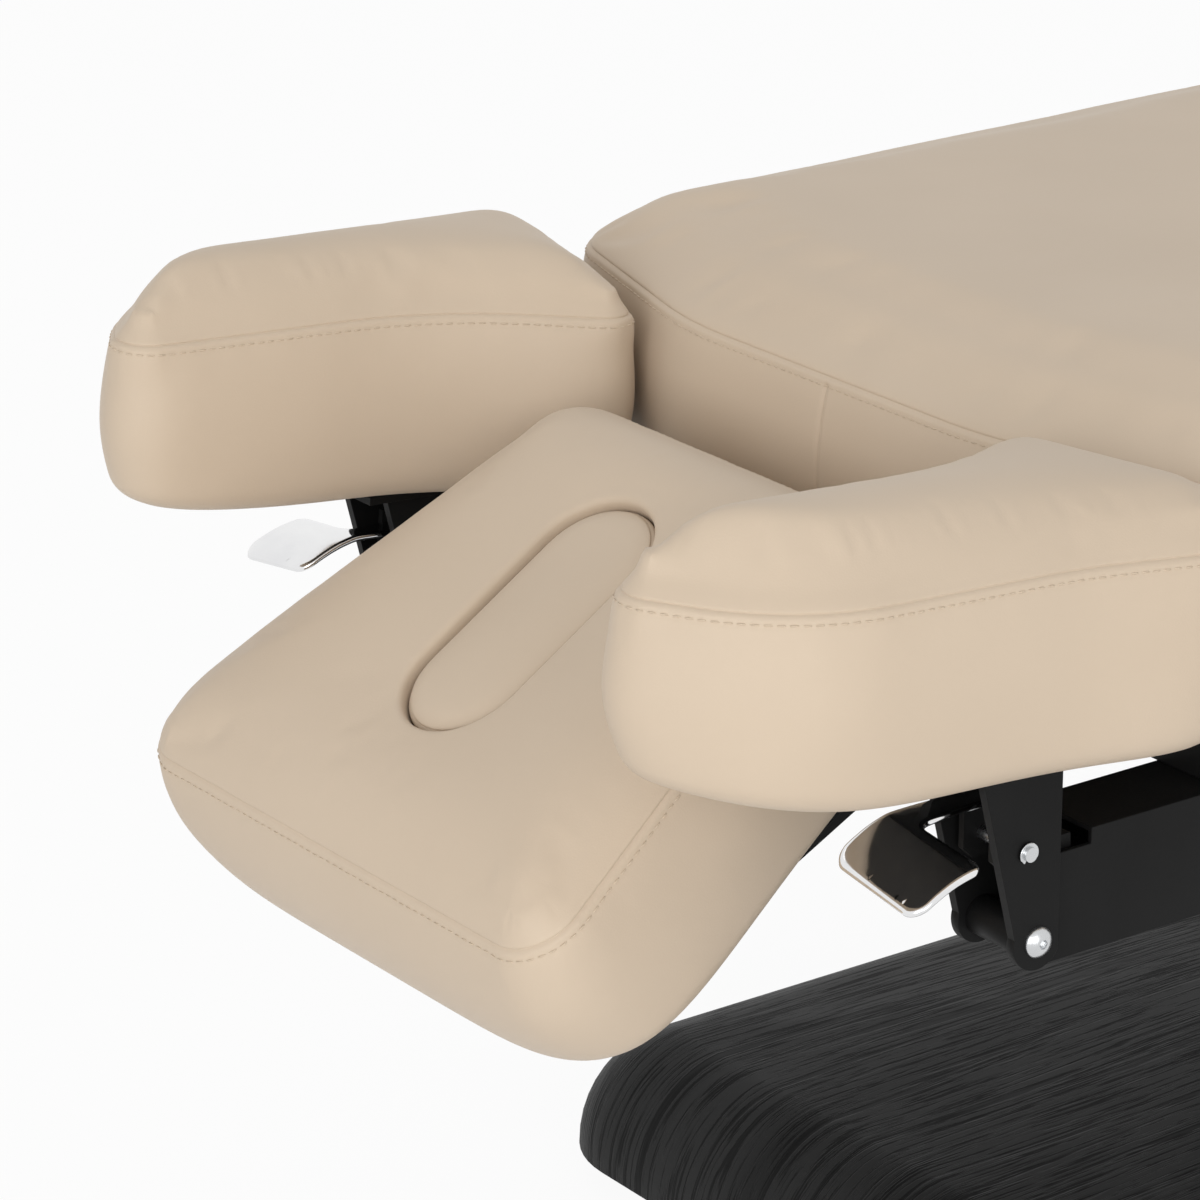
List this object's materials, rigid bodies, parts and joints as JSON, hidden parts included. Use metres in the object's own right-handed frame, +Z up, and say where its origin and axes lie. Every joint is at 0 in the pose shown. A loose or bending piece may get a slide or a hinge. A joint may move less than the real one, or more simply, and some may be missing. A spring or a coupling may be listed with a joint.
{
  "type": "spa lounger",
  "caption": "Padded spa treatment lounger with tilting head rest, breath slot, dropping armrests with squeeze paddles, sectioned top on lift columns and a wood floor base.",
  "frame": {"origin": "on the floor under the middle of the lounger's overall length and width", "axes": "+Z up, +Y from the head end to the foot end, +X to the side nearer the camera in the picture"},
  "size_m": [0.7116, 2.1838, 0.6373],
  "materials": {
    "vinyl": "soft matte upholstery vinyl, sand beige",
    "black_steel": "black powder coat",
    "zinc_steel": "zinc plated and bright steel",
    "chrome": "polished chrome plate",
    "column_aluminium": "satin anodised",
    "board": "plywood, black stained",
    "black_oak": "black open-grain oak veneer",
    "dark_plastic": "moulded plastic",
    "foot_rubber": "moulded rubber foot"
  },
  "bodies": {
    "base": {"base_cover": "black_oak", "base_tubes": "black_steel", "base_plates": "black_steel", "base_posts": "black_steel", "levelling_feet": "foot_rubber", "column_outers": "column_aluminium", "control_box": "dark_plastic", "mains_inlet": "dark_plastic"},
    "column_stage": {"column_middles": "column_aluminium"},
    "main": {"column_inners": "column_aluminium", "column_flanges": "black_steel", "main_rails": "black_steel", "main_cross_tubes": "black_steel", "seat_cross_tubes": "black_steel", "seat_hinge_plates": "black_steel", "seat_deck": "board", "seat_pad": "vinyl", "back_drive_body": "dark_plastic", "leg_drive_body": "dark_plastic", "section_hinge_bolts": "zinc_steel"},
    "back": {"back_rails": "black_steel", "back_cross_tubes": "black_steel", "head_hinge_ears": "black_steel", "back_hinge_plates": "black_steel", "back_cranks": "black_steel", "back_deck": "board", "back_pad": "vinyl", "head_hinge_shaft": "zinc_steel"},
    "back_rod": {"back_drive_rod": "zinc_steel"},
    "leg": {"leg_rails": "black_steel", "leg_cross_tubes": "black_steel", "leg_hinge_plates": "black_steel", "leg_cranks": "black_steel", "leg_deck": "board", "leg_pad": "vinyl"},
    "leg_rod": {"leg_drive_rod": "zinc_steel"},
    "head": {"head_arms": "black_steel", "head_cross_rods": "black_steel", "head_board": "board", "head_pad": "vinyl"},
    "plug": {"breath_plug": "vinyl"},
    "armrest_left": {"armrest_pad_left": "vinyl", "armrest_board_left": "board", "armrest_bracket_left": "black_steel", "armrest_pivot_bolt_left": "zinc_steel", "paddle_pin_left": "zinc_steel"},
    "release_paddle_left": {"paddle_left": "chrome"},
    "armrest_right": {"armrest_pad_right": "vinyl", "armrest_board_right": "board", "armrest_bracket_right": "black_steel", "armrest_pivot_bolt_right": "zinc_steel", "paddle_pin_right": "zinc_steel"},
    "release_paddle_right": {"paddle_right": "chrome"}
  },
  "joints": [
    {"name": "height_lift", "type": "slide", "parent": "base", "child": "main", "axis": [0, 0, 1], "range_m": [0, 0.25]},
    {"name": "column_stage_slide", "type": "slide", "parent": "base", "child": "column_stage", "axis": [0, 0, 1], "range_m": [0, 0.1251]},
    {"name": "back_tilt", "type": "hinge", "parent": "main", "child": "back", "pos_m": [0, 0.05, 0.6], "axis": [-1, 0, 0], "range_deg": [0, 60]},
    {"name": "back_rod_slide", "type": "slide", "parent": "main", "child": "back_rod", "axis": [0, -1, 0], "range_m": [0, 0.2196]},
    {"name": "leg_tilt", "type": "hinge", "parent": "main", "child": "leg", "pos_m": [0, 0.48, 0.6], "axis": [1, 0, 0], "range_deg": [0, 35]},
    {"name": "leg_rod_slide", "type": "slide", "parent": "main", "child": "leg_rod", "axis": [0, 1, 0], "range_m": [0, 0.12]},
    {"name": "head_tilt", "type": "hinge", "parent": "back", "child": "head", "pos_m": [0, -0.762, 0.486], "axis": [-1, 0, 0], "range_deg": [-25, 22]},
    {"name": "plug_lift", "type": "slide", "parent": "head", "child": "plug", "axis": [0, -0.5446, 0.8387], "range_m": [0, 0.14]},
    {"name": "armrest_tilt_left", "type": "hinge", "parent": "back", "child": "armrest_left", "pos_m": [-0.2725, -0.85, 0.39], "axis": [1, 0, 0], "range_deg": [0, 25]},
    {"name": "paddle_squeeze_left", "type": "hinge", "parent": "armrest_left", "child": "release_paddle_left", "pos_m": [-0.2725, -0.8588, 0.442], "axis": [-1, 0, 0], "range_deg": [-8, 4], "stiffness_Nm_per_rad": 1.5, "springref_deg": -8.59},
    {"name": "armrest_tilt_right", "type": "hinge", "parent": "back", "child": "armrest_right", "pos_m": [0.2725, -0.85, 0.39], "axis": [1, 0, 0], "range_deg": [0, 25]},
    {"name": "paddle_squeeze_right", "type": "hinge", "parent": "armrest_right", "child": "release_paddle_right", "pos_m": [0.2725, -0.8588, 0.442], "axis": [-1, 0, 0], "range_deg": [0, 12], "stiffness_Nm_per_rad": 1.5, "springref_deg": -8.59}
  ],
  "couplings": [
    {"joint": "column_stage_slide", "follows": "height_lift", "ratio": 0.5},
    {"joint": "back_rod_slide", "follows": "back_tilt", "m_per_rad": 0.2095},
    {"joint": "leg_rod_slide", "follows": "leg_tilt", "m_per_rad": 0.19614}
  ]
}
